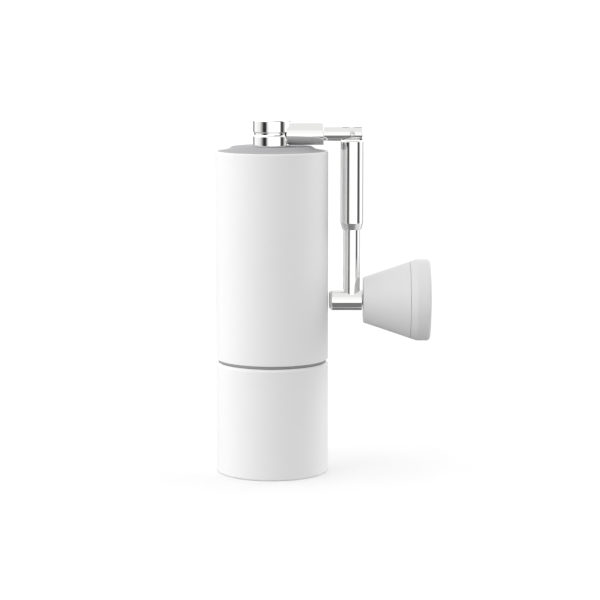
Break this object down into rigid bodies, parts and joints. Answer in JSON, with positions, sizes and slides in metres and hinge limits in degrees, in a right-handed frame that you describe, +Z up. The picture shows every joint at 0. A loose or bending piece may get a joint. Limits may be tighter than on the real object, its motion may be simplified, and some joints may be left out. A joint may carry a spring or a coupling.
{
  "type": "hand crank coffee grinder",
  "caption": "Slim cylindrical hand coffee grinder with a white barrel and screw-on grounds cup, conical burrs, and a bright folding crank that ends in a cone-shaped knob.",
  "frame": {"origin": "centre of the base pad's underside, on the axis of the barrel", "axes": "+Z up along the barrel; +X along the folded crank arm, towards the knob"},
  "size_m": [0.0891, 0.0466, 0.1464],
  "materials": {
    "white_coat": "matte",
    "white_plastic": "matte",
    "lid_plastic": "satin",
    "dial_plastic": "satin",
    "inner_plastic": "satin",
    "chrome": "polished",
    "steel": "satin",
    "burr_steel": "satin",
    "silicone": "matte",
    "bush_plastic": "satin"
  },
  "bodies": {
    "cup": {"base_pad": "silicone", "grounds_cup": "white_coat"},
    "barrel": {"neck_seal": "silicone", "threaded_neck": "inner_plastic", "outer_burr": "burr_steel", "burr_clamp_ring": "steel", "burr_screw_1": "steel", "burr_screw_2": "steel", "burr_screw_3": "steel", "outer_shell": "white_coat", "lower_carrier": "inner_plastic", "upper_carrier": "inner_plastic", "lower_liner": "inner_plastic", "upper_liner": "inner_plastic", "lower_bearing_outer_race": "steel", "lower_bearing_balls": "steel", "upper_bearing_outer_race": "steel", "upper_bearing_balls": "steel"},
    "drive": {"drive_shaft": "steel", "lower_bearing_inner_race": "steel", "upper_bearing_inner_race": "steel", "shaft_clip": "steel", "spring_washer": "steel", "burr_spring": "steel", "shaft_end_ring": "steel"},
    "burr": {"inner_burr": "burr_steel", "detent_plate": "steel"},
    "dial": {"adjusting_dial": "dial_plastic", "click_ball_1": "steel", "click_ball_2": "steel", "click_spring_1": "steel", "click_spring_2": "steel"},
    "lid": {"lid": "lid_plastic", "lid_seal": "silicone"},
    "crank": {"crank_hub": "chrome", "hub_clip": "steel", "arm_tube": "chrome", "arm_fork": "chrome", "elbow_pin": "steel"},
    "lower_arm": {"lower_arm": "chrome", "knob_spindle": "chrome", "knob_axle": "steel", "knob_washer": "steel", "knob_screw": "steel"},
    "sleeve": {"lock_sleeve": "chrome", "sleeve_ring": "silicone"},
    "knob": {"knob_body": "white_plastic", "knob_cap": "white_plastic", "knob_bush_inner": "bush_plastic", "knob_bush_outer": "bush_plastic"}
  },
  "joints": [
    {"name": "barrel_lift", "type": "slide", "parent": "cup", "child": "barrel", "axis": [0, 0, 1], "range_m": [0, 0.03]},
    {"name": "lid_lift", "type": "slide", "parent": "barrel", "child": "lid", "axis": [0, 0, 1], "range_m": [0, 0.025]},
    {"name": "crank_spin", "type": "hinge", "parent": "lid", "child": "crank", "pos_m": [0, 0, 0.1407], "axis": [0, 0, 1], "continuous": true},
    {"name": "elbow_fold", "type": "hinge", "parent": "crank", "child": "lower_arm", "pos_m": [0.033, 0, 0.1407], "axis": [0, -1, 0], "range_deg": [0, 90]},
    {"name": "sleeve_slide", "type": "slide", "parent": "lower_arm", "child": "sleeve", "axis": [0, 0, -1], "range_m": [0, 0.024]},
    {"name": "knob_spin", "type": "hinge", "parent": "lower_arm", "child": "knob", "pos_m": [0.0378, 0, 0.0718], "axis": [1, 0, 0], "continuous": true},
    {"name": "drive_spin", "type": "hinge", "parent": "barrel", "child": "drive", "pos_m": [0, 0, 0.0596], "axis": [0, 0, 1], "continuous": true},
    {"name": "burr_travel", "type": "slide", "parent": "drive", "child": "burr", "axis": [0, 0, -1], "range_m": [-0.00025, 0.00094], "deforming": ["burr_spring"]},
    {"name": "dial_turn", "type": "hinge", "parent": "burr", "child": "dial", "pos_m": [0, 0, 0.0292], "axis": [0, 0, -1], "range_deg": [-122, 452]}
  ],
  "couplings": [
    {"joint": "drive_spin", "follows": "crank_spin", "ratio": 1},
    {"joint": "dial_turn", "follows": "burr_travel", "rad_per_m": 8377.6}
  ]
}
